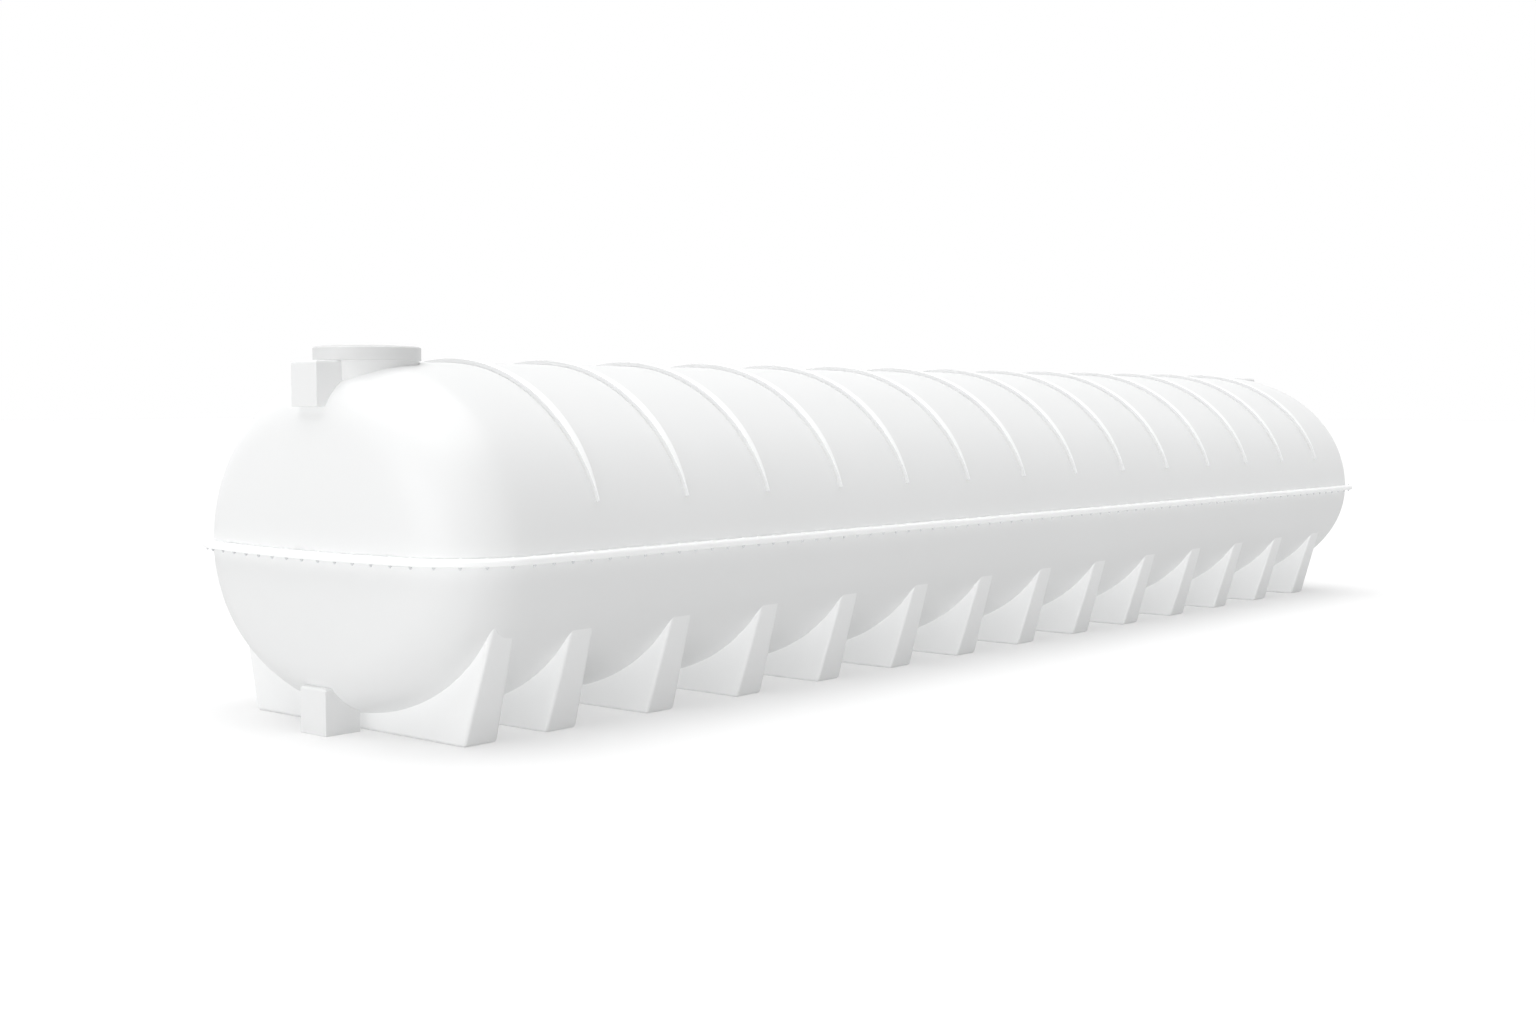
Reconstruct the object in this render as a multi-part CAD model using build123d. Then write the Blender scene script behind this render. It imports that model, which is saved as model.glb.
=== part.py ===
from build123d import *
import math
import os

# Horizontal moulded tank for septic and storm water: two half shells with dished
# ends, bolted together along a seam flange, standing on a row of moulded feet.
# X runs along the tank, Y across it and Z up. The origin is on the ground under
# the middle of the tank. All lengths are in millimetres.

# Body section, half an oval above the seam and half an oval below it
BODY_WIDTH = 2600.0
UPPER_RISE = 1092.0
LOWER_DROP = 975.0
GROUND_CLEARANCE = 70.0
WALL = 12.0
BARREL_LENGTH = 10800.0

# Dished ends: a flat crown with a generous knuckle
END_DEPTH = 550.0
CROWN_BULGE = 70.0

# Bolted seam
FLANGE_THICKNESS = 18.0
FLANGE_OVERHANG = 65.0
GASKET_THICKNESS = 6.0
GASKET_SETBACK = 3.0

# Feet moulded under the lower shell
SADDLE_COUNT = 14
NEAR_SADDLE_OVERHANG = 65.0
NEAR_SADDLE_GAP = 607.0
FAR_SADDLE_INSET = 274.0
SADDLE_FOOT_LENGTH = 245.0
SADDLE_FOOT_WIDTH = 1950.0
SADDLE_END_DRAFT = 3.0
SADDLE_SIDE_DRAFT = 17.0
SADDLE_CORNER_RADIUS = 25.0

# Stiffening ribs over the upper shell
RIB_COUNT = 14
NEAR_RIB_INSET = 565.0
FAR_RIB_INSET = 550.0
RIB_WIDTH = 54.0
RIB_HEIGHT = 28.0
RIB_TIP_RISE = 290.0

# Access opening
LID_OVERHANG = 60.0
LID_DIAMETER = 620.0
LID_SKIRT = 68.0
LID_CROWN = 14.0
LID_WALL = 8.0
NECK_DIAMETER = 592.0
NECK_WALL = 10.0
NECK_RISE = 70.0
NECK_BURY = 300.0

# Pipe connection bosses
PAD_WIDTH = 240.0
UPPER_PAD_SETBACK = 45.0
UPPER_PAD_HEIGHT = 262.0
UPPER_PAD_DEPTH = 450.0
LOWER_PAD_SETBACK = 75.0
LOWER_PAD_HEIGHT = 275.0
LOWER_PAD_DEPTH = 240.0

HALF_WIDTH = BODY_WIDTH / 2
HALF_BARREL = BARREL_LENGTH / 2
SEAM_HEIGHT = LOWER_DROP + GROUND_CLEARANCE
KNUCKLE_RADIUS = END_DEPTH - CROWN_BULGE
GASKET_TOP = GASKET_THICKNESS / 2
SHELL_SEAT = GASKET_TOP + FLANGE_THICKNESS
CROWN_RADIUS = (END_DEPTH**2 + (HALF_WIDTH - KNUCKLE_RADIUS)**2 - KNUCKLE_RADIUS**2) / (
    2 * (END_DEPTH - KNUCKLE_RADIUS))
FIRST_SADDLE_X = -HALF_BARREL - NEAR_SADDLE_OVERHANG
SECOND_SADDLE_X = FIRST_SADDLE_X + NEAR_SADDLE_GAP
SADDLE_PITCH = (HALF_BARREL - FAR_SADDLE_INSET - SECOND_SADDLE_X) / (SADDLE_COUNT - 2)
FIRST_RIB_X = NEAR_RIB_INSET - HALF_BARREL
RIB_PITCH = (HALF_BARREL - FAR_RIB_INSET - FIRST_RIB_X) / (RIB_COUNT - 1)
LID_X = -HALF_BARREL - LID_OVERHANG
UPPER_PAD_X = UPPER_PAD_SETBACK - END_DEPTH - HALF_BARREL
LOWER_PAD_X = LOWER_PAD_SETBACK - END_DEPTH - HALF_BARREL


def end_outline(offset):
    """Points of a dished end's half outline, from the rim to the pole."""
    crown = CROWN_RADIUS + offset
    knuckle = KNUCKLE_RADIUS + offset
    crown_x = END_DEPTH - CROWN_RADIUS
    knuckle_y = HALF_WIDTH - KNUCKLE_RADIUS
    angle = math.atan2(knuckle_y, -crown_x)
    turn = (math.pi / 2 - angle) / 2
    rim = (0.0, knuckle_y + knuckle)
    mid = (knuckle * math.sin(turn), knuckle_y + knuckle * math.cos(turn))
    joint = (crown_x + crown * math.cos(angle), crown * math.sin(angle))
    high = (crown_x + crown * math.cos(angle / 2), crown * math.sin(angle / 2))
    pole = (crown_x + crown, 0.0)
    return rim, mid, joint, high, pole


def end_solid(offset):
    """Half of a round dished end, its rim in the YZ plane and its pole on +X."""
    rim, mid, joint, high, pole = end_outline(offset)
    with BuildSketch(Plane.XY) as profile:
        with BuildLine():
            Line((0, 0), rim)
            ThreePointArc(rim, mid, joint)
            ThreePointArc(joint, high, pole)
            Line(pole, (0, 0))
        make_face()
    return revolve(profile.sketch, Axis.X, 180)


def half_oval(offset, depth):
    """Face of a half oval in the YZ plane, above or below the seam."""
    side = HALF_WIDTH + offset
    rise = abs(depth) + offset
    with BuildSketch(Plane.YZ) as profile:
        Ellipse(side, rise)
        with Locations((0, -math.copysign(rise, depth))):
            Rectangle(4 * side, 2 * rise, mode=Mode.SUBTRACT)
    return profile.sketch


def seated(shape, direction):
    """Cut a half shell off where it sits on its flange."""
    block = Box(2 * BARREL_LENGTH, 4 * HALF_WIDTH, 4 * HALF_WIDTH)
    return shape & Pos(0, 0, direction * (2 * HALF_WIDTH + SHELL_SEAT)) * block


def barrel_half(depth):
    """Open half of the long body, above or below the seam."""
    outer = extrude(half_oval(0, depth), HALF_BARREL, both=True)
    inner = extrude(half_oval(-WALL, depth), HALF_BARREL, both=True)
    return seated(outer - inner, math.copysign(1, depth))


def round_end(offset, depth):
    """Solid of the dished end on +X while it is still round."""
    solid = end_solid(offset)
    if solid.center().Z * depth < 0:
        solid = Rot(180, 0, 0) * solid
    return Pos(HALF_BARREL, 0, 0) * solid


def far_end(offset, depth):
    """Solid of the dished end on +X, stretched from round to the oval section."""
    stretch = (abs(depth) + offset) / (HALF_WIDTH + offset)
    return scale(round_end(offset, depth), by=(1, 1, stretch))


def end_shell(depth):
    """Dished end shell on the +X side, above or below the seam."""
    return seated(far_end(0, depth) - far_end(-WALL, depth), math.copysign(1, depth))


def envelope(depth):
    """Solids filling one half of the body, to cut what stands against it."""
    body = extrude(half_oval(0, depth), HALF_BARREL, both=True)
    far = far_end(0, depth)
    return body, far, mirror(far, Plane.YZ)


def seam_outline(offset):
    """Plan of the body at the seam, grown outward by the offset."""
    rim, mid, joint, high, pole = end_outline(offset)

    def place(point, side, hand):
        return (side * (HALF_BARREL + point[0]), hand * point[1])

    with BuildSketch(Plane.XY) as plan:
        with BuildLine():
            for side in (1, -1):
                for hand in (1, -1):
                    ThreePointArc(*[place(point, side, hand) for point in (rim, mid, joint)])
                ThreePointArc(place(joint, side, 1), place(pole, side, 1), place(joint, side, -1))
            for hand in (1, -1):
                Line(place(rim, -1, hand), place(rim, 1, hand))
        make_face()
    return plan.sketch


def seam_ring(low, thickness, overhang):
    """Flat ring of the seam, from the inside of the shell to its overhang."""
    ring = seam_outline(overhang) - seam_outline(-WALL)
    return Pos(0, 0, low) * extrude(ring, thickness)


def largest(shape):
    return max(shape.solids(), key=lambda solid: solid.volume)


def foot_block(stretch):
    """Drafted block of one foot, its heights divided by the stretch of the end."""
    height = SEAM_HEIGHT - SHELL_SEAT
    side_run = height * math.tan(math.radians(SADDLE_SIDE_DRAFT))
    end_run = height * math.tan(math.radians(SADDLE_END_DRAFT))
    with BuildPart() as foot:
        with BuildSketch(Plane.XY.offset(-SEAM_HEIGHT / stretch)):
            RectangleRounded(SADDLE_FOOT_LENGTH, SADDLE_FOOT_WIDTH, SADDLE_CORNER_RADIUS)
        with BuildSketch(Plane.XY.offset(-SHELL_SEAT / stretch)):
            RectangleRounded(SADDLE_FOOT_LENGTH - 2 * end_run,
                             SADDLE_FOOT_WIDTH + 2 * side_run, SADDLE_CORNER_RADIUS)
        loft()
    return foot.part


def barrel_saddle(body):
    """One moulded foot, drafted on all four sides and cradling the long body."""
    return largest(foot_block(1) - body[0])


def end_saddle(x_middle):
    """The foot under the dished end on +X, cut while round and then stretched."""
    stretch = LOWER_DROP / HALF_WIDTH
    foot = Pos(x_middle, 0, 0) * foot_block(stretch)
    round_barrel = Rot(0, 90, 0) * Cylinder(HALF_WIDTH, BARREL_LENGTH)
    foot = largest(foot - round_barrel - round_end(0, -LOWER_DROP))
    return scale(foot, by=(1, 1, stretch))


def rib():
    """Crescent rib that hugs the upper shell from side to side, pointed at its tips."""
    crown = UPPER_RISE + RIB_HEIGHT
    reach = HALF_WIDTH + RIB_HEIGHT
    with BuildSketch(Plane.YZ) as ring:
        Ellipse(reach, crown)
        Ellipse(HALF_WIDTH, UPPER_RISE, mode=Mode.SUBTRACT)
        with Locations((0, RIB_TIP_RISE / 2 - HALF_WIDTH)):
            Rectangle(4 * HALF_WIDTH, 2 * HALF_WIDTH, mode=Mode.SUBTRACT)
    band = extrude(ring.sketch, RIB_WIDTH, both=True)
    low = (0, RIB_TIP_RISE)
    with BuildSketch(Plane.XZ) as side:
        with BuildLine():
            for hand in (1, -1):
                shoulder = (hand * RIB_WIDTH * 0.40, RIB_TIP_RISE + 0.3 * (crown - RIB_TIP_RISE))
                top = (hand * RIB_WIDTH / 2, crown + RIB_HEIGHT)
                ThreePointArc(low, shoulder, top)
            Line((-RIB_WIDTH / 2, crown + RIB_HEIGHT), (RIB_WIDTH / 2, crown + RIB_HEIGHT))
        make_face()
    lens = extrude(side.sketch, 2 * HALF_WIDTH, both=True)
    return largest(band & lens)


def pad(x_face, depth, low, high, body):
    """Flat connection boss on the near end, cut to the curve of the shell."""
    with BuildSketch(Plane.XZ) as profile:
        with Locations((x_face + depth / 2, (low + high) / 2)):
            Rectangle(depth, high - low)
    block = extrude(profile.sketch, PAD_WIDTH / 2, both=True)
    for piece in body:
        block = block - piece
    return largest(block)


def manhole_neck(body):
    """Round collar standing on the crown of the near end."""
    height = NECK_RISE + NECK_BURY
    bottom = (Align.CENTER, Align.CENTER, Align.MIN)
    collar = Cylinder(NECK_DIAMETER / 2, height, align=bottom)
    collar = collar - Cylinder(NECK_DIAMETER / 2 - NECK_WALL, height, align=bottom)
    collar = Pos(LID_X, 0, UPPER_RISE - NECK_BURY) * collar
    for piece in body:
        collar = collar - piece
    return largest(collar)


def manhole_lid():
    """Lift-off cover with a skirt over the collar and a slightly crowned top."""
    radius = LID_DIAMETER / 2
    rest = UPPER_RISE + NECK_RISE
    rim = rest + LID_WALL
    bottom = (Align.CENTER, Align.CENTER, Align.MIN)
    cover = Pos(0, 0, rest - LID_SKIRT) * Cylinder(radius, LID_SKIRT + LID_WALL + LID_CROWN, align=bottom)
    crown_radius = (radius**2 + LID_CROWN**2) / (2 * LID_CROWN)
    cover = cover & Pos(0, 0, rim + LID_CROWN - crown_radius) * Sphere(crown_radius)
    hollow = Pos(0, 0, rest - LID_SKIRT) * Cylinder(radius - LID_WALL, LID_SKIRT, align=bottom)
    return largest(Pos(LID_X, 0, 0) * (cover - hollow))


upper = envelope(UPPER_RISE)
lower = envelope(-LOWER_DROP)
far_upper_end = end_shell(UPPER_RISE)
far_lower_end = end_shell(-LOWER_DROP)
manway = Pos(LID_X, 0, UPPER_RISE) * Cylinder(NECK_DIAMETER / 2 - NECK_WALL, UPPER_RISE)
collar_core = Pos(LID_X, 0, UPPER_RISE) * Cylinder(NECK_DIAMETER / 2, UPPER_RISE)

parts = {}
parts["upper_barrel"] = barrel_half(UPPER_RISE) - manway
parts["lower_barrel"] = barrel_half(-LOWER_DROP)
parts["near_upper_end"] = mirror(far_upper_end, Plane.YZ) - manway
parts["far_upper_end"] = far_upper_end
parts["near_lower_end"] = mirror(far_lower_end, Plane.YZ)
parts["far_lower_end"] = far_lower_end
parts["upper_flange"] = seam_ring(GASKET_TOP, FLANGE_THICKNESS, FLANGE_OVERHANG)
parts["lower_flange"] = seam_ring(-SHELL_SEAT, FLANGE_THICKNESS, FLANGE_OVERHANG)
parts["flange_gasket"] = seam_ring(-GASKET_TOP, GASKET_THICKNESS, FLANGE_OVERHANG - GASKET_SETBACK)

inner_saddle = barrel_saddle(lower)
first_saddle = mirror(end_saddle(-FIRST_SADDLE_X), Plane.YZ)
parts["saddle_01"] = first_saddle
for number in range(1, SADDLE_COUNT):
    x_middle = SECOND_SADDLE_X + (number - 1) * SADDLE_PITCH
    parts[f"saddle_{number + 1:02d}"] = Pos(x_middle, 0, 0) * inner_saddle

plain_rib = rib()
for number in range(RIB_COUNT):
    x_middle = FIRST_RIB_X + number * RIB_PITCH
    parts[f"rib_{number + 1:02d}"] = Pos(x_middle, 0, 0) * plain_rib

parts["manhole_neck"] = manhole_neck(upper)
parts["manhole_lid"] = manhole_lid()

upper_pad = pad(UPPER_PAD_X, UPPER_PAD_DEPTH, UPPER_RISE - UPPER_PAD_HEIGHT, UPPER_RISE, upper)
lower_pad = pad(LOWER_PAD_X, LOWER_PAD_DEPTH, -SEAM_HEIGHT, LOWER_PAD_HEIGHT - SEAM_HEIGHT, lower)
parts["near_upper_pad"] = largest(upper_pad - collar_core)
parts["near_lower_pad"] = largest(lower_pad - first_saddle)
parts["far_upper_pad"] = mirror(upper_pad, Plane.YZ)
parts["far_lower_pad"] = mirror(lower_pad, Plane.YZ)

os.makedirs("parts", exist_ok=True)
for name, shape in parts.items():
    export_step(Pos(0, 0, SEAM_HEIGHT) * shape, f"parts/{name}.step")
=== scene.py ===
import math

import bmesh
import bpy
from mathutils import Matrix, Vector


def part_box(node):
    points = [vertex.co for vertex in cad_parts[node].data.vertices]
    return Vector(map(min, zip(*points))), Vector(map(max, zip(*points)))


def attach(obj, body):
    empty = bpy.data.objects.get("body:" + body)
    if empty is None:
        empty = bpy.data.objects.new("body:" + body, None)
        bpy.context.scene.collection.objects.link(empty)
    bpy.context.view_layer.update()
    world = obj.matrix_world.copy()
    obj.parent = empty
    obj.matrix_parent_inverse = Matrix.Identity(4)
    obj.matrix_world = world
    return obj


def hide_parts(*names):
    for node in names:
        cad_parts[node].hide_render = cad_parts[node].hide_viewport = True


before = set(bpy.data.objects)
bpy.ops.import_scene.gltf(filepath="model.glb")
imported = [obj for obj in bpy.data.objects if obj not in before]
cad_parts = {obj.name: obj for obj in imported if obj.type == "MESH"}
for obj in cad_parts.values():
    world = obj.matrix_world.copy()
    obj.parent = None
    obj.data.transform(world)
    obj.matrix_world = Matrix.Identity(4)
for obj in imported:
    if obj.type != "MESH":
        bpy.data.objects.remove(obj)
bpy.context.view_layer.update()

bl_info = {
    "name": "Moulded septic tank",
    "version": (1, 0, 0),
    "blender": (4, 5, 0),
    "location": "View3D > Sidebar > Tank",
    "description": "Dresses a long moulded tank: shells, seam, feet, ribs, lid and bosses",
    "category": "Add Mesh",
}


def box_size(node):
    low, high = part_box(node)
    return high - low


# Sizes read from the frame, in metres
SEAM_LOW, SEAM_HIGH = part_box("lower_flange")[0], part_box("upper_flange")[1]
SEAM_Z = (SEAM_LOW.z + SEAM_HIGH.z) / 2
PLATE = box_size("upper_flange").z
SEAT = SEAM_HIGH.z - SEAM_Z
BARREL_LOW, BARREL_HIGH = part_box("upper_barrel")
HALF_BARREL = BARREL_HIGH.x
UPPER_RISE = BARREL_HIGH.z - SEAM_Z
LOWER_DROP = SEAM_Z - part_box("lower_barrel")[0].z
LID_LOW, LID_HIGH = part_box("manhole_lid")
LID_CENTRE = (LID_LOW + LID_HIGH) / 2
LID_RADIUS = box_size("manhole_lid").x / 2
NECK_RADIUS = box_size("manhole_neck").x / 2
SADDLES = [name for name in sorted(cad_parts) if name.startswith("saddle_")]
RIBS = [name for name in sorted(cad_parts) if name.startswith("rib_")]
PADS = ["near_upper_pad", "near_lower_pad", "far_upper_pad", "far_lower_pad"]

PHOTO_WIDTH = 1536     # pixels
SENSOR = 36.0          # mm
FLOOR_HALF = 150       # m
FLOOR_GLOW = 0.36      # seen by camera rays only
FAR_CLIP = 500         # m
KEY_SPREAD, FILL_SPREAD = 70, 60   # degrees
AROUND = 96            # steps round the oval and the lid
RIB_ROWS = 120
COLLAR_WALL, LID_WALL = 0.010, 0.008
ROOF_RADIUS = 0.02     # rounding of a boss's top edges


class TankBody(bpy.types.PropertyGroup):
    overhang: bpy.props.FloatProperty(
        name="Seam overhang", description="How far the seam plates stand out of the shell",
        default=0.065, unit="LENGTH")
    wall: bpy.props.FloatProperty(
        name="Wall", description="Thickness of the moulded shell", default=0.012, unit="LENGTH")
    end_depth: bpy.props.FloatProperty(
        name="End depth", description="Depth of each dished end",
        default=SEAM_HIGH.x - HALF_BARREL - 0.065, unit="LENGTH")
    knuckle: bpy.props.FloatProperty(
        name="Knuckle radius", description="Radius where a dished end turns into the long body",
        default=0.48, unit="LENGTH")
    plate_edge: bpy.props.FloatProperty(
        name="Plate edge", description="Rounding of the upper seam plate, three times the lower's",
        default=0.0165, unit="LENGTH")


class TankFeet(bpy.types.PropertyGroup):
    side_draft: bpy.props.FloatProperty(
        name="Side draft", description="Slope of a foot's narrow faces",
        default=math.radians(17), subtype="ANGLE")
    end_draft: bpy.props.FloatProperty(
        name="End draft", description="Slope of a foot's broad faces",
        default=math.radians(3), subtype="ANGLE")
    width: bpy.props.FloatProperty(
        name="Foot width", description="Width of a foot on the ground", default=1.95, unit="LENGTH")
    corner: bpy.props.FloatProperty(
        name="Foot corner", description="Rounding of a foot's moulded edges",
        default=0.022, unit="LENGTH")


class TankRibs(bpy.types.PropertyGroup):
    height: bpy.props.FloatProperty(
        name="Rib height", description="How far a rib stands out of the shell",
        default=0.028, unit="LENGTH")
    width: bpy.props.FloatProperty(
        name="Rib width", description="Width of a rib at the crown", default=0.054, unit="LENGTH")
    edge: bpy.props.FloatProperty(
        name="Rib edge", description="Rounding of a rib's outer edges",
        default=0.0035, unit="LENGTH")


class TankBolts(bpy.types.PropertyGroup):
    pitch: bpy.props.FloatProperty(
        name="Bolt pitch", description="Distance between the seam bolts",
        default=0.145, unit="LENGTH")
    size: bpy.props.FloatProperty(
        name="Bolt size", description="Distance across the flats of a bolt head",
        default=0.016, unit="LENGTH")
    inset: bpy.props.FloatProperty(
        name="Bolt inset", description="Distance from the plate's outer edge to the bolts",
        default=0.028, unit="LENGTH")


class TankFinish(bpy.types.PropertyGroup):
    gel_coat: bpy.props.FloatVectorProperty(
        name="Gel coat", description="Colour of the white gel coat", subtype="COLOR",
        size=4, min=0, max=1, default=(0.788, 0.793, 0.793, 1))
    gasket: bpy.props.FloatVectorProperty(
        name="Gasket", description="Colour of the seam gasket", subtype="COLOR",
        size=4, min=0, max=1, default=(0.93, 0.935, 0.935, 1))
    zinc: bpy.props.FloatVectorProperty(
        name="Zinc", description="Colour of the plated bolts", subtype="COLOR",
        size=4, min=0, max=1, default=(0.60, 0.61, 0.62, 1))
    floor: bpy.props.FloatVectorProperty(
        name="Floor", description="Colour of the studio floor", subtype="COLOR",
        size=4, min=0, max=1, default=(0.60, 0.60, 0.60, 1))


class TankStudio(bpy.types.PropertyGroup):
    eye: bpy.props.FloatVectorProperty(
        name="Camera place", description="Where the camera stands", subtype="TRANSLATION",
        size=3, default=(-12.123, -8.705, 1.911))
    yaw: bpy.props.FloatProperty(
        name="Camera yaw", description="Turn of the view from +X towards +Y",
        default=math.radians(40.28), subtype="ANGLE")
    pitch: bpy.props.FloatProperty(
        name="Camera pitch", description="How far the view looks down",
        default=math.radians(3.49), subtype="ANGLE")
    focal_pixels: bpy.props.FloatProperty(
        name="Focal length in pixels", description="Focal length for a picture 1536 pixels wide",
        default=1834.0)
    sky: bpy.props.FloatProperty(
        name="Sky", description="Strength of the even studio light", default=0.33)
    key: bpy.props.FloatProperty(
        name="Key", description="Strength of the high soft key light", default=2.4)
    end_fill: bpy.props.FloatProperty(
        name="End fill", description="Shadowless light on the near end", default=1.80)
    side_fill: bpy.props.FloatProperty(
        name="Side fill", description="Shadowless light on the long side", default=0.88)
    floor_fill: bpy.props.FloatProperty(
        name="Floor fill", description="Shadowless light thrown up by the floor", default=0.8)


def settings():
    scene = bpy.context.scene
    return (scene.tank_body, scene.tank_feet, scene.tank_ribs, scene.tank_bolts,
            scene.tank_finish, scene.tank_studio)


# ---- finishes


def link(tree, start, end):
    tree.links.new(start, end)


def noise(tree, coords, scale, detail, roughness=0.5):
    node = tree.nodes.new("ShaderNodeTexNoise")
    node.inputs["Scale"].default_value = scale
    node.inputs["Detail"].default_value = detail
    node.inputs["Roughness"].default_value = roughness
    link(tree, coords, node.inputs["Vector"])
    return node.outputs["Fac"]


def spread(tree, value, low, high):
    node = tree.nodes.new("ShaderNodeMapRange")
    node.interpolation_type = "SMOOTHERSTEP"
    node.inputs["From Min"].default_value = 0.15
    node.inputs["From Max"].default_value = 0.85
    node.inputs["To Min"].default_value = low
    node.inputs["To Max"].default_value = high
    link(tree, value, node.inputs["Value"])
    return node.outputs["Result"]


def bump(tree, height, distance, strength, below=None):
    node = tree.nodes.new("ShaderNodeBump")
    node.inputs["Distance"].default_value = distance
    node.inputs["Strength"].default_value = strength
    link(tree, height, node.inputs["Height"])
    if below is not None:
        link(tree, below, node.inputs["Normal"])
    return node.outputs["Normal"]


def finish(name):
    material = bpy.data.materials.new(name)
    material.use_nodes = True
    tree = material.node_tree
    shader = tree.nodes["Principled BSDF"]
    coords = tree.nodes.new("ShaderNodeTexCoord").outputs["Object"]
    return material, tree, shader, coords


def gel_coat(name, tint=1.0, gloss=0.40):
    """White gel coat over laminate: soft mottling, faint mould waves and orange peel."""
    colour = bpy.context.scene.tank_finish.gel_coat
    material, tree, shader, coords = finish(name)
    mottle = spread(tree, noise(tree, coords, 0.7, 0), 0.985, 1.0)
    tone = tree.nodes.new("ShaderNodeMix")
    tone.data_type = "RGBA"
    tone.blend_type = "MULTIPLY"
    tone.inputs["Factor"].default_value = 1.0
    # tint scales the colour: the seam plates, caps, feet and rib faces use it as painted light, the
    # rib flanks and lid as painted shade.
    tone.inputs["A"].default_value = (colour[0] * tint, colour[1] * tint, colour[2] * tint, 1)
    link(tree, mottle, tone.inputs["B"])
    link(tree, tone.outputs["Result"], shader.inputs["Base Color"])
    roughness = spread(tree, noise(tree, coords, 1.1, 0), gloss - 0.02, gloss + 0.02)
    link(tree, roughness, shader.inputs["Roughness"])
    waves = bump(tree, noise(tree, coords, 1.6, 0), 0.004, 0.2)
    peel = bump(tree, noise(tree, coords, 160.0, 2), 0.0003, 0.15, waves)
    link(tree, peel, shader.inputs["Normal"])
    shader.inputs["Specular IOR Level"].default_value = 0.35
    shader.inputs["Coat Weight"].default_value = 0.05
    shader.inputs["Coat Roughness"].default_value = 0.25
    return material


def rubber(name):
    material, tree, shader, coords = finish(name)
    colour = bpy.context.scene.tank_finish.gasket
    shader.inputs["Base Color"].default_value = colour
    link(tree, spread(tree, noise(tree, coords, 60.0, 3), 0.6, 0.8), shader.inputs["Roughness"])
    link(tree, bump(tree, noise(tree, coords, 220.0, 3), 0.0005, 0.4), shader.inputs["Normal"])
    return material


def zinc_plate(name):
    material, tree, shader, coords = finish(name)
    colour = bpy.context.scene.tank_finish.zinc
    shader.inputs["Metallic"].default_value = 0.9
    shader.inputs["Base Color"].default_value = colour
    link(tree, spread(tree, noise(tree, coords, 90.0, 3), 0.28, 0.5), shader.inputs["Roughness"])
    return material


# ---- modelling helpers


def place(name, bm, material, nodes=(), bevel=0.0, segments=3):
    """Turns a bmesh into a finished piece of the tank."""
    bmesh.ops.remove_doubles(bm, verts=bm.verts, dist=1e-5)
    bmesh.ops.recalc_face_normals(bm, faces=bm.faces)
    mesh = bpy.data.meshes.new(name)
    bm.to_mesh(mesh)
    bm.free()
    mesh.polygons.foreach_set("use_smooth", [True] * len(mesh.polygons))
    piece = bpy.data.objects.new(name, mesh)
    bpy.context.scene.collection.objects.link(piece)
    mesh.materials.append(material)
    if bevel:
        round_over = piece.modifiers.new("Moulded edges", "BEVEL")
        round_over.width = bevel
        round_over.segments = segments
        round_over.limit_method = "ANGLE"
        round_over.angle_limit = math.radians(35)
        weighted = piece.modifiers.new("Even shading", "WEIGHTED_NORMAL")
        weighted.keep_sharp = True
    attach(piece, "root")
    if nodes:
        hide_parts(*nodes)
    return piece


def turn_point(bm, vertex, centre, axis, angle, steps):
    """Draws an arc from a vertex and returns its last vertex."""
    swept = bmesh.ops.spin(bm, geom=[vertex], cent=centre, axis=axis, angle=angle, steps=steps)
    return [item for item in swept["geom_last"] if isinstance(item, bmesh.types.BMVert)][0]


def end_figures(offset):
    """Crown radius, knuckle height and the angle where crown and knuckle meet."""
    body = bpy.context.scene.tank_body
    half_width = SEAM_HIGH.y - body.overhang
    depth, knuckle = body.end_depth, body.knuckle
    crown = (depth ** 2 + (half_width - knuckle) ** 2 - knuckle ** 2) / (2 * (depth - knuckle))
    knuckle_y = half_width - knuckle
    angle = math.atan2(knuckle_y, crown - depth)
    return half_width, crown + offset, knuckle + offset, knuckle_y, angle, depth


def side_outline(bm, offset, arc_steps):
    """Half of the tank's plan, from the near pole along -Y to the far pole."""
    half_width, crown, knuckle, knuckle_y, angle, depth = end_figures(offset)
    pole = bm.verts.new((-HALF_BARREL - depth - offset, 0, 0))
    crown_centre = (-HALF_BARREL - depth - offset + crown, 0, 0)
    joint = turn_point(bm, pole, crown_centre, (0, 0, 1), angle, arc_steps)
    knuckle_centre = (-HALF_BARREL, -knuckle_y, 0)
    rim = turn_point(bm, joint, knuckle_centre, (0, 0, 1), math.pi / 2 - angle, arc_steps)
    near = list(bm.verts) + list(bm.edges)
    mirrored = bmesh.ops.mirror(bm, geom=near, matrix=Matrix.Identity(4), merge_dist=-1, axis="X")
    other = [item for item in mirrored["geom"] if isinstance(item, bmesh.types.BMVert)]
    far_rim = min(other, key=lambda v: (v.co - Vector((-rim.co.x, rim.co.y, 0))).length)
    side = bm.edges.new((rim, far_rim))
    return side


def shell_form(depth, along, around):
    """Closed oval half body without a wall, its seam on the XY plane."""
    bm = bmesh.new()
    side = side_outline(bm, 0.0, 12)
    bmesh.ops.subdivide_edges(bm, edges=[side], cuts=along)
    direction = math.copysign(1, depth)
    outline = list(bm.verts) + list(bm.edges)
    bmesh.ops.spin(bm, geom=outline, cent=(0, 0, 0), axis=(-direction, 0, 0), angle=math.pi,
                   steps=around)
    bmesh.ops.remove_doubles(bm, verts=bm.verts, dist=1e-5)
    half_width = end_figures(0.0)[0]
    bmesh.ops.scale(bm, vec=(1, 1, abs(depth) / half_width), verts=bm.verts)
    return bm


def solid_form(depth):
    """The same half body closed by a flat face, to cut feet with."""
    bm = shell_form(depth, 30, AROUND)
    rim = [edge for edge in bm.edges if edge.is_boundary]
    bmesh.ops.contextual_create(bm, geom=rim)
    bmesh.ops.recalc_face_normals(bm, faces=bm.faces)
    bmesh.ops.translate(bm, vec=(0, 0, SEAM_Z), verts=bm.verts)
    return bm


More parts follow.
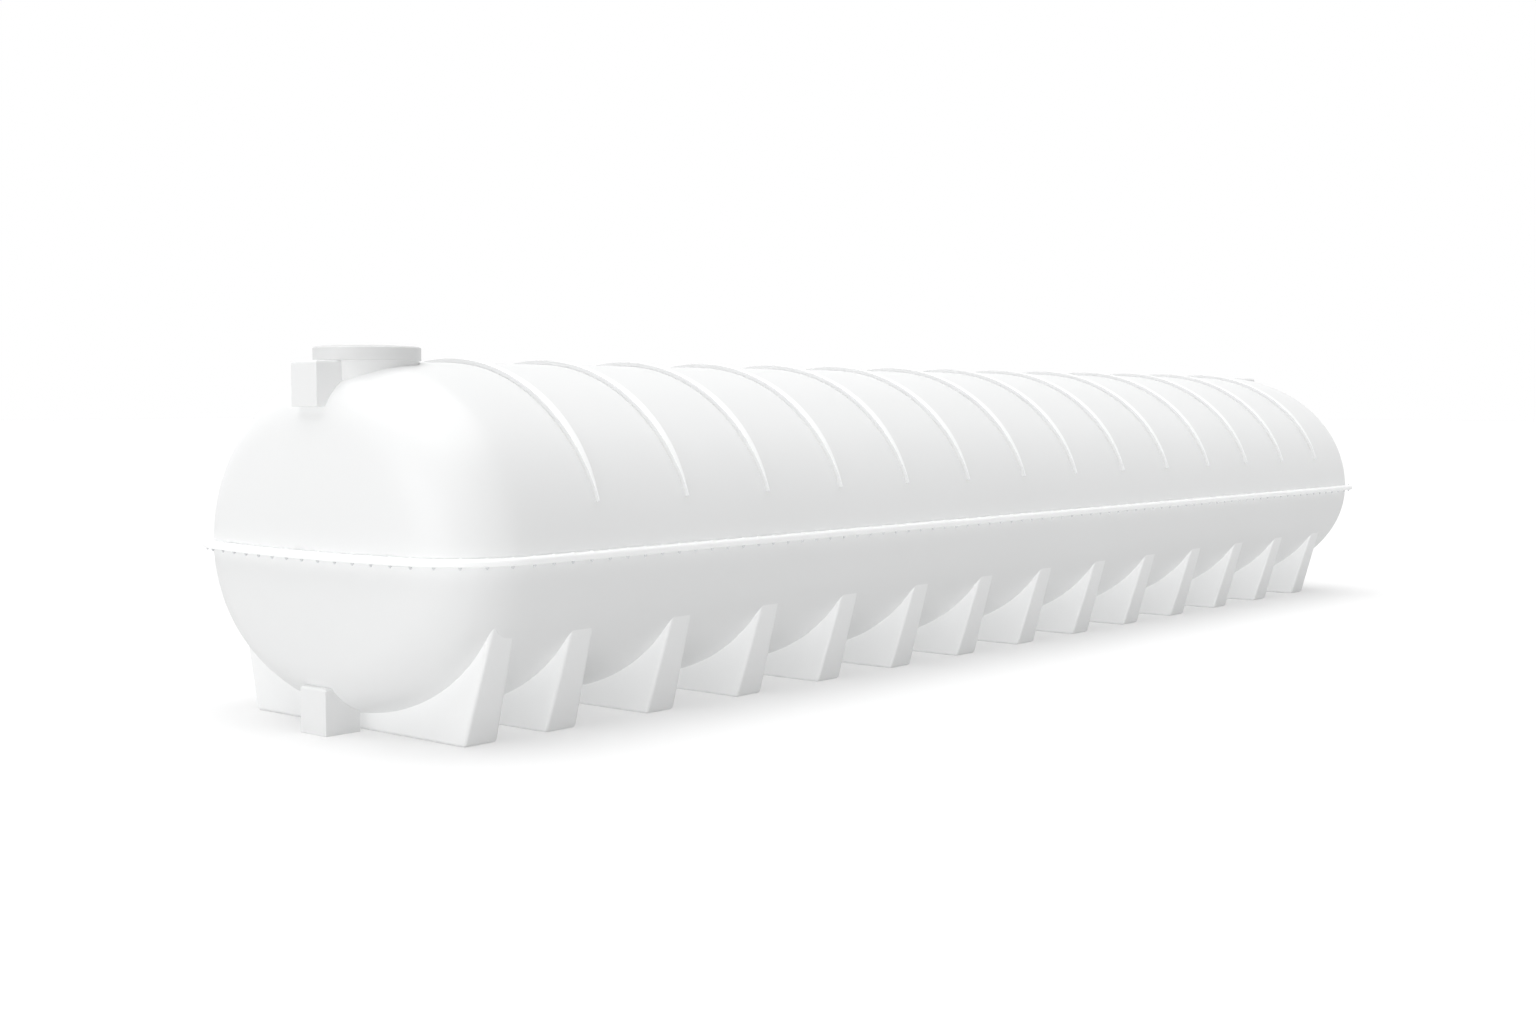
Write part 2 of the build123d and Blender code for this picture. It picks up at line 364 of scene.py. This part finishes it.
def temporary(name, bm):
    mesh = bpy.data.meshes.new(name)
    bm.to_mesh(mesh)
    bm.free()
    helper = bpy.data.objects.new(name, mesh)
    bpy.context.scene.collection.objects.link(helper)
    return helper


def cut_away(bm, cutter):
    """Takes the cutter's solid out of a closed bmesh and returns the rest."""
    helper = temporary("blank", bm)
    knife = helper.modifiers.new("cut", "BOOLEAN")
    knife.operation = "DIFFERENCE"
    knife.solver = "EXACT"
    knife.object = cutter
    graph = bpy.context.evaluated_depsgraph_get()
    rest = bpy.data.meshes.new_from_object(helper.evaluated_get(graph))
    bpy.data.objects.remove(helper)
    result = bmesh.new()
    result.from_mesh(rest)
    bpy.data.meshes.remove(rest)
    return result


# ---- pieces


class TANK_OT_shells(bpy.types.Operator):
    """Builds the two half shells with their dished ends"""
    bl_idname = "tank.shells"
    bl_label = "Half shells"

    def execute(self, context):
        body = context.scene.tank_body
        white = gel_coat("shell_gel_coat")
        halves = (("upper_shell", UPPER_RISE, ("upper_barrel", "near_upper_end", "far_upper_end")),
                  ("lower_shell", -LOWER_DROP, ("lower_barrel", "near_lower_end", "far_lower_end")))
        for name, depth, nodes in halves:
            bm = shell_form(depth, 60, AROUND)
            direction = math.copysign(1, depth)
            bmesh.ops.bisect_plane(bm, geom=list(bm.verts) + list(bm.edges) + list(bm.faces),
                                   plane_co=(0, 0, direction * SEAT), plane_no=(0, 0, -direction),
                                   clear_outer=True)
            bmesh.ops.recalc_face_normals(bm, faces=bm.faces)
            top = max(bm.faces, key=lambda face: abs(face.calc_center_median().z))
            if top.normal.z * direction < 0:
                bmesh.ops.reverse_faces(bm, faces=bm.faces)
            bmesh.ops.solidify(bm, geom=bm.faces, thickness=body.wall)
            bmesh.ops.translate(bm, vec=(0, 0, SEAM_Z), verts=bm.verts)
            place(name, bm, white, nodes)
        return {"FINISHED"}


class TANK_OT_seam(bpy.types.Operator):
    """Builds the two seam plates and the sealing strip between them"""
    bl_idname = "tank.seam"
    bl_label = "Bolted seam"

    def execute(self, context):
        body = context.scene.tank_body
        # The seam plates are tinted 20% lighter than the shell: painted light that makes the seam
        # band read bright white.
        white = gel_coat("seam_painted_light_gel_coat", 1.2, 0.32)
        strip = rubber("gasket_rubber")
        gasket_low, gasket_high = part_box("flange_gasket")
        plates = (("upper_seam_plate", SEAM_Z + SEAT - PLATE, PLATE, body.overhang, white,
                   "flange", "upper_flange"),
                  ("lower_seam_plate", SEAM_Z - SEAT, PLATE, body.overhang, white,
                   "flange", "lower_flange"),
                  ("seam_gasket", gasket_low.z, gasket_high.z - gasket_low.z,
                   body.overhang - 0.001, strip, "gasket", "flange_gasket"))
        for name, low, thickness, overhang, material, slot, node in plates:
            bm = bmesh.new()
            side_outline(bm, overhang, 20)
            half = list(bm.verts) + list(bm.edges)
            bmesh.ops.mirror(bm, geom=half, matrix=Matrix.Identity(4), merge_dist=1e-4, axis="Y")
            bmesh.ops.remove_doubles(bm, verts=bm.verts, dist=1e-5)
            plate = bmesh.ops.contextual_create(bm, geom=list(bm.edges))["faces"]
            bmesh.ops.inset_region(bm, faces=plate, thickness=overhang + body.wall,
                                   use_even_offset=True, use_boundary=True)
            bmesh.ops.delete(bm, geom=plate, context="FACES")
            swept = bmesh.ops.extrude_face_region(bm, geom=list(bm.faces))["geom"]
            top = [item for item in swept if isinstance(item, bmesh.types.BMVert)]
            bmesh.ops.translate(bm, vec=(0, 0, thickness), verts=top)
            bmesh.ops.translate(bm, vec=(0, 0, low), verts=bm.verts)
            if slot == "flange":
                face = max if low > SEAM_Z - PLATE / 2 else min
                level = face(vertex.co.z for vertex in bm.verts)
                rim = [edge for edge in bm.edges
                       if all(abs(v.co.z - level) < 1e-4 for v in edge.verts)
                       and edge.calc_face_angle(0) > math.radians(60)]
                edge_radius = body.plate_edge if face is max else body.plate_edge / 3
                bmesh.ops.bevel(bm, geom=rim, offset=edge_radius, segments=4, profile=0.5,
                                affect="EDGES", material=-1)
            sharp_edges(place(name, bm, material, (node,)), 50)
        return {"FINISHED"}


class TANK_OT_feet(bpy.types.Operator):
    """Builds the moulded feet and seats them against the lower shell"""
    bl_idname = "tank.feet"
    bl_label = "Moulded feet"

    def execute(self, context):
        feet = context.scene.tank_feet
        # The feet are tinted 10% lighter than the shell: painted light in place of the light that
        # the shade between the feet takes away.
        white = gel_coat("foot_painted_light_gel_coat", 1.10, 0.42)
        height = SEAM_Z - SEAT
        side_run = height * math.tan(feet.side_draft)
        end_run = height * math.tan(feet.end_draft)
        cutter = temporary("cutter", solid_form(-LOWER_DROP))
        for number, node in enumerate(SADDLES):
            low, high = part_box(node)
            middle, length = (low.x + high.x) / 2, high.x - low.x
            bm = bmesh.new()
            bmesh.ops.create_cube(bm, size=1)
            bmesh.ops.translate(bm, vec=(0, 0, 0.5), verts=bm.verts)
            bmesh.ops.scale(bm, vec=(length, feet.width, height), verts=bm.verts)
            top = [vertex for vertex in bm.verts if vertex.co.z > height / 2]
            bmesh.ops.scale(bm, vec=(1 - 2 * end_run / length, 1 + 2 * side_run / feet.width, 1),
                            verts=top)
            corners = [edge for edge in bm.edges if min(v.co.z for v in edge.verts) < height / 2]
            bmesh.ops.bevel(bm, geom=corners, offset=feet.corner, segments=4, profile=0.5,
                            affect="EDGES", material=-1)
            bmesh.ops.translate(bm, vec=(middle, 0, 0), verts=bm.verts)
            bm = cut_away(bm, cutter)
            # Slivers of the block that stood outside the faceted cutter at the seam
            crumbs = [vertex for vertex in bm.verts if vertex.co.z > 0.9 * height]
            bmesh.ops.delete(bm, geom=crumbs, context="VERTS")
            piece = place(f"foot_{number + 1:02d}", bm, white, (node,))
            weighted = piece.modifiers.new("Even shading", "WEIGHTED_NORMAL")
            weighted.keep_sharp = True
            sharp_edges(piece, 40)
        bpy.data.objects.remove(cutter)
        return {"FINISHED"}


def sharp_edges(piece, degrees):
    """Marks creases sharper than the angle so that smooth shading stops there."""
    bm = bmesh.new()
    bm.from_mesh(piece.data)
    for edge in bm.edges:
        if len(edge.link_faces) == 2 and edge.calc_face_angle() > math.radians(degrees):
            edge.smooth = False
    bm.to_mesh(piece.data)
    bm.free()


class TANK_OT_ribs(bpy.types.Operator):
    """Builds the crescent ribs over the upper shell"""
    bl_idname = "tank.ribs"
    bl_label = "Stiffening ribs"

    def execute(self, context):
        ribs = context.scene.tank_ribs
        # The rib flanks are tinted darker (0.86) than the shell: painted shade along each rib's
        # sides.
        painted_shade_flank = gel_coat("rib_flank_painted_shade_gel_coat", 0.86)
        # The rib outer faces are tinted 20% lighter than the shell: a painted highlight along each
        # rib's top.
        face = gel_coat("rib_face_painted_highlight_gel_coat", 1.2, 0.40)
        half_width = end_figures(0.0)[0]
        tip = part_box(RIBS[0])[0].z - SEAM_Z
        crown = UPPER_RISE + ribs.height
        lens = circle_through((0.0, tip), (ribs.width * 0.40, tip + 0.3 * (crown - tip)),
                              (ribs.width / 2, crown + ribs.height))
        end = math.acos(tip / UPPER_RISE)
        for number, node in enumerate(RIBS):
            low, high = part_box(node)
            bm = bmesh.new()
            bmesh.ops.create_grid(bm, x_segments=2, y_segments=RIB_ROWS, size=1)
            for vertex in bm.verts:
                angle = vertex.co.y * end
                height = max(UPPER_RISE * math.cos(angle), tip)
                half = lens[0] + math.sqrt(lens[2] ** 2 - (height - lens[1]) ** 2)
                vertex.co = (vertex.co.x * max(half, 0.0045), angle, 0)
            raised = bmesh.ops.extrude_face_region(bm, geom=list(bm.faces))["geom"]
            top = [item for item in raised if isinstance(item, bmesh.types.BMVert)]
            bmesh.ops.translate(bm, vec=(0, 0, ribs.height), verts=top)
            # The outer faces get the second material, the painted highlight; the flanks keep the
            # painted shade.
            outer = [item for item in raised if isinstance(item, bmesh.types.BMFace)]
            for item in outer:
                item.material_index = 1
            for vertex in bm.verts:
                angle, rise = vertex.co.y, vertex.co.z
                vertex.co = ((low.x + high.x) / 2 + vertex.co.x,
                             (half_width + rise) * math.sin(angle),
                             SEAM_Z + (UPPER_RISE + rise) * math.cos(angle))
            name = f"crescent_rib_{number + 1:02d}"
            piece = place(name, bm, painted_shade_flank, (node,), ribs.edge, 2)
            piece.data.materials.append(face)
        return {"FINISHED"}


def circle_through(first, second, third):
    """Centre and radius of the circle through three points of a plane."""
    (ax, ay), (bx, by), (cx, cy) = first, second, third
    area = 2 * (ax * (by - cy) + bx * (cy - ay) + cx * (ay - by))
    a, b, c = ax**2 + ay**2, bx**2 + by**2, cx**2 + cy**2
    x = (a * (by - cy) + b * (cy - ay) + c * (ay - by)) / area
    y = (a * (cx - bx) + b * (ax - cx) + c * (bx - ax)) / area
    return x, y, math.dist((x, y), first)


class TANK_OT_lid(bpy.types.Operator):
    """Builds the manhole collar and its lift-off lid"""
    bl_idname = "tank.lid"
    bl_label = "Manhole lid"

    def execute(self, context):
        centre = (LID_CENTRE.x, LID_CENTRE.y)
        neck_low, neck_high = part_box("manhole_neck")
        bore = NECK_RADIUS - COLLAR_WALL
        collar = self.turned([(bore, neck_low.z), (NECK_RADIUS, neck_low.z),
                              (NECK_RADIUS, neck_high.z), (bore, neck_high.z)], centre)
        place("manhole_collar", collar, gel_coat("collar_gel_coat", 0.92, 0.34),
              ("manhole_neck",), 0.003)
        top, bottom, rest = LID_HIGH.z, LID_LOW.z, neck_high.z
        inner = LID_RADIUS - LID_WALL
        outline = [(0.0, rest), (inner, rest), (inner, bottom),
                   (LID_RADIUS, bottom), (LID_RADIUS, top - 0.016),
                   (LID_RADIUS - 0.014, top - 0.008),
                   (LID_RADIUS * 0.6, top - 0.002), (0.0, top)]
        lid = self.turned(outline, centre)
        # The lid is tinted darker (0.84) than the shell: painted shade standing in for the shade on
        # its upright rim.
        place("manhole_cover", lid, gel_coat("lid_painted_shade_gel_coat", 0.84, 0.38),
              ("manhole_lid",), 0.004)
        return {"FINISHED"}

    @staticmethod
    def turned(outline, centre):
        bm = bmesh.new()
        points = [bm.verts.new((centre[0] + radius, centre[1], height))
                  for radius, height in outline]
        closed = outline[0][0] > 0
        for first, second in zip(points, points[1:] + points[:1]):
            if closed or second is not points[0]:
                bm.edges.new((first, second))
        bmesh.ops.spin(bm, geom=list(bm.verts) + list(bm.edges), cent=(centre[0], centre[1], 0),
                       axis=(0, 0, 1), angle=2 * math.pi, steps=AROUND, use_merge=True)
        bmesh.ops.remove_doubles(bm, verts=bm.verts, dist=1e-5)
        return bm


class TANK_OT_bosses(bpy.types.Operator):
    """Rounds the edges of the four pipe connection bosses"""
    bl_idname = "tank.bosses"
    bl_label = "Connection bosses"

    def execute(self, context):
        white = gel_coat("boss_gel_coat")
        for node in PADS:
            bm = bmesh.new()
            bm.from_mesh(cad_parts[node].data)
            bmesh.ops.remove_doubles(bm, verts=bm.verts, dist=1e-5)
            bmesh.ops.dissolve_limit(bm, angle_limit=math.radians(1), verts=bm.verts,
                                     edges=bm.edges)
            high = max(vertex.co.z for vertex in bm.verts)
            roof = [edge for edge in bm.edges if min(v.co.z for v in edge.verts) > high - 1e-4
                    and edge.calc_length() > 0.02 and edge.calc_face_angle(0) > math.radians(60)]
            bmesh.ops.bevel(bm, geom=roof, offset=ROOF_RADIUS, segments=4, profile=0.5,
                            affect="EDGES", material=-1)
            place(node.replace("_pad", "_boss"), bm, white, (node,), 0.004)
        return {"FINISHED"}


class TANK_OT_bolts(bpy.types.Operator):
    """Sets low caps above the seam, and washers and nuts below it"""
    bl_idname = "tank.bolts"
    bl_label = "Seam bolts"

    def execute(self, context):
        bolts = context.scene.tank_bolts
        caps, nuts = bmesh.new(), bmesh.new()
        washer, nut = 0.0022, bolts.size * 0.5
        for x, y in self.places(context.scene.tank_body, bolts):
            self.disc(caps, x, y, SEAM_Z + SEAT, 0.002, bolts.size * 0.75, 18)
            self.disc(caps, x, y, SEAM_Z + SEAT + 0.002, 0.003, bolts.size * 0.5, 18)
            under = SEAM_Z - SEAT
            self.disc(nuts, x, y, under, -washer, bolts.size * 0.85, 16)
            self.disc(nuts, x, y, under - washer, -nut, bolts.size / math.sqrt(3), 6)
            self.disc(nuts, x, y, under - washer - nut, -0.007, bolts.size * 0.32, 10)
        # The caps are tinted 20% lighter than the shell, like the seam plates: painted light.
        place("seam_bolt_caps", caps, gel_coat("cap_painted_light_gel_coat", 1.2, 0.32), (),
              0.0006, 2)
        piece = place("seam_nuts", nuts, zinc_plate("bolt_zinc"))
        sharp_edges(piece, 40)
        return {"FINISHED"}

    @staticmethod
    def places(body, bolts):
        """Points along the plan of the seam, evenly spaced round the ends and sides."""
        offset = body.overhang - bolts.inset
        half_width, crown, knuckle, knuckle_y, angle, depth = end_figures(offset)
        crown_run, knuckle_run = crown * angle, knuckle * (math.pi / 2 - angle)
        end_run = crown_run + knuckle_run
        quarter = end_run + HALF_BARREL
        count = round(quarter / bolts.pitch)
        for index in range(count):
            run = (index + 0.5) * quarter / count
            if run < crown_run:
                turn = run / crown
                x = HALF_BARREL + depth + offset - crown + crown * math.cos(turn)
                y = crown * math.sin(turn)
            elif run < end_run:
                turn = angle + (run - crown_run) / knuckle
                x = HALF_BARREL + knuckle * math.cos(turn)
                y = knuckle_y + knuckle * math.sin(turn)
            else:
                x, y = HALF_BARREL - (run - end_run), knuckle_y + knuckle
            for side in (1, -1):
                for hand in (1, -1):
                    yield side * x, hand * y

    @staticmethod
    def disc(bm, x, y, base, height, radius, sides):
        made = bmesh.ops.create_cone(bm, cap_ends=True, cap_tris=False, segments=sides,
                                     radius1=radius, radius2=radius, depth=abs(height))
        bmesh.ops.translate(bm, vec=(x, y, base + height / 2), verts=made["verts"])


class TANK_OT_studio(bpy.types.Operator):
    """Sets the floor, the soft lights and the camera"""
    bl_idname = "tank.studio"
    bl_label = "Studio"

    def execute(self, context):
        studio, look = context.scene.tank_studio, context.scene.tank_finish
        scene = context.scene
        bm = bmesh.new()
        bmesh.ops.create_grid(bm, x_segments=1, y_segments=1, size=FLOOR_HALF)
        mesh = bpy.data.meshes.new("studio_floor")
        bm.to_mesh(mesh)
        bm.free()
        floor = bpy.data.objects.new("studio_floor", mesh)
        scene.collection.objects.link(floor)
        mesh.materials.append(self.floor_finish(look.floor))
        self.world(scene, studio.sky)
        self.sun(scene, "soft_key", studio.key, (-0.03, -0.16, -1), KEY_SPREAD)
        self.sun(scene, "end_fill", studio.end_fill, (1, 0, -0.02), FILL_SPREAD, False)
        self.sun(scene, "side_fill", studio.side_fill, (0.1, 1, 0), FILL_SPREAD, False)
        self.sun(scene, "floor_fill", studio.floor_fill, (0, 0, 1), FILL_SPREAD, False)
        data = bpy.data.cameras.new("camera")
        data.sensor_width = SENSOR
        data.lens = studio.focal_pixels / PHOTO_WIDTH * SENSOR
        data.clip_end = FAR_CLIP
        camera = bpy.data.objects.new("camera", data)
        scene.collection.objects.link(camera)
        look_dir = Vector((math.cos(studio.yaw) * math.cos(studio.pitch),
                           math.sin(studio.yaw) * math.cos(studio.pitch), -math.sin(studio.pitch)))
        camera.matrix_world = (Matrix.Translation(Vector(studio.eye))
                               @ look_dir.to_track_quat("-Z", "Y").to_matrix().to_4x4())
        scene.camera = camera
        scene.view_settings.view_transform = "Standard"
        return {"FINISHED"}

    @staticmethod
    def floor_finish(colour):
        material, tree, shader, coords = finish("studio_floor")
        shader.inputs["Base Color"].default_value = colour
        shader.inputs["Specular IOR Level"].default_value = 0.0
        roughness = spread(tree, noise(tree, coords, 0.8, 2), 0.85, 0.95)
        link(tree, roughness, shader.inputs["Roughness"])
        path = tree.nodes.new("ShaderNodeLightPath")
        glow = tree.nodes.new("ShaderNodeMath")
        glow.operation = "MULTIPLY"
        glow.inputs[1].default_value = FLOOR_GLOW
        link(tree, path.outputs["Is Camera Ray"], glow.inputs[0])
        shader.inputs["Emission Color"].default_value = (1, 1, 1, 1)
        link(tree, glow.outputs["Value"], shader.inputs["Emission Strength"])
        return material

    @staticmethod
    def world(scene, strength):
        world = bpy.data.worlds.new("studio_sky")
        scene.world = world
        world.use_nodes = True
        tree = world.node_tree
        back = tree.nodes["Background"]
        back.inputs["Color"].default_value = (1, 1, 1, 1)
        path = tree.nodes.new("ShaderNodeLightPath")
        seen = path.outputs["Is Camera Ray"]
        for name in ("Is Glossy Ray", "Is Transmission Ray"):
            either = tree.nodes.new("ShaderNodeMath")
            either.operation = "MAXIMUM"
            link(tree, seen, either.inputs[0])
            link(tree, path.outputs[name], either.inputs[1])
            seen = either.outputs["Value"]
        level = tree.nodes.new("ShaderNodeMapRange")
        level.inputs["To Min"].default_value = strength
        level.inputs["To Max"].default_value = 1.0
        link(tree, seen, level.inputs["Value"])
        link(tree, level.outputs["Result"], back.inputs["Strength"])

    @staticmethod
    def sun(scene, name, strength, towards, spread_degrees, shadow=True):
        data = bpy.data.lights.new(name, "SUN")
        data.use_shadow = shadow
        data.energy = strength
        data.angle = math.radians(spread_degrees)
        lamp = bpy.data.objects.new(name, data)
        scene.collection.objects.link(lamp)
        lamp.matrix_world = Vector(towards).to_track_quat("-Z", "Y").to_matrix().to_4x4()


class TANK_PT_panel(bpy.types.Panel):
    """Lists the pieces of the tank and their sizes"""
    bl_idname = "TANK_PT_panel"
    bl_label = "Moulded tank"
    bl_space_type = "VIEW_3D"
    bl_region_type = "UI"
    bl_category = "Tank"

    def draw(self, context):
        layout = self.layout
        for operator in OPERATORS:
            layout.operator(operator.bl_idname)
        for group in settings():
            box = layout.box()
            for name in group.__annotations__:
                box.prop(group, name)


GROUPS = {"tank_body": TankBody, "tank_feet": TankFeet, "tank_ribs": TankRibs,
          "tank_bolts": TankBolts, "tank_finish": TankFinish, "tank_studio": TankStudio}
OPERATORS = (TANK_OT_studio, TANK_OT_shells, TANK_OT_seam, TANK_OT_feet, TANK_OT_ribs,
             TANK_OT_lid, TANK_OT_bosses, TANK_OT_bolts)


def register():
    for cls in (*GROUPS.values(), *OPERATORS, TANK_PT_panel):
        bpy.utils.register_class(cls)
    for name, cls in GROUPS.items():
        setattr(bpy.types.Scene, name, bpy.props.PointerProperty(type=cls))


def unregister():
    for name in GROUPS:
        delattr(bpy.types.Scene, name)
    for cls in reversed((*GROUPS.values(), *OPERATORS, TANK_PT_panel)):
        bpy.utils.unregister_class(cls)


def main():
    register()
    under = gel_coat("plain_gel_coat")
    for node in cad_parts.values():
        node.data.materials.clear()
        node.data.materials.append(under)
    for operator in OPERATORS:
        group, name = operator.bl_idname.split(".")
        getattr(getattr(bpy.ops, group), name)()


if __name__ == "__main__":
    main()
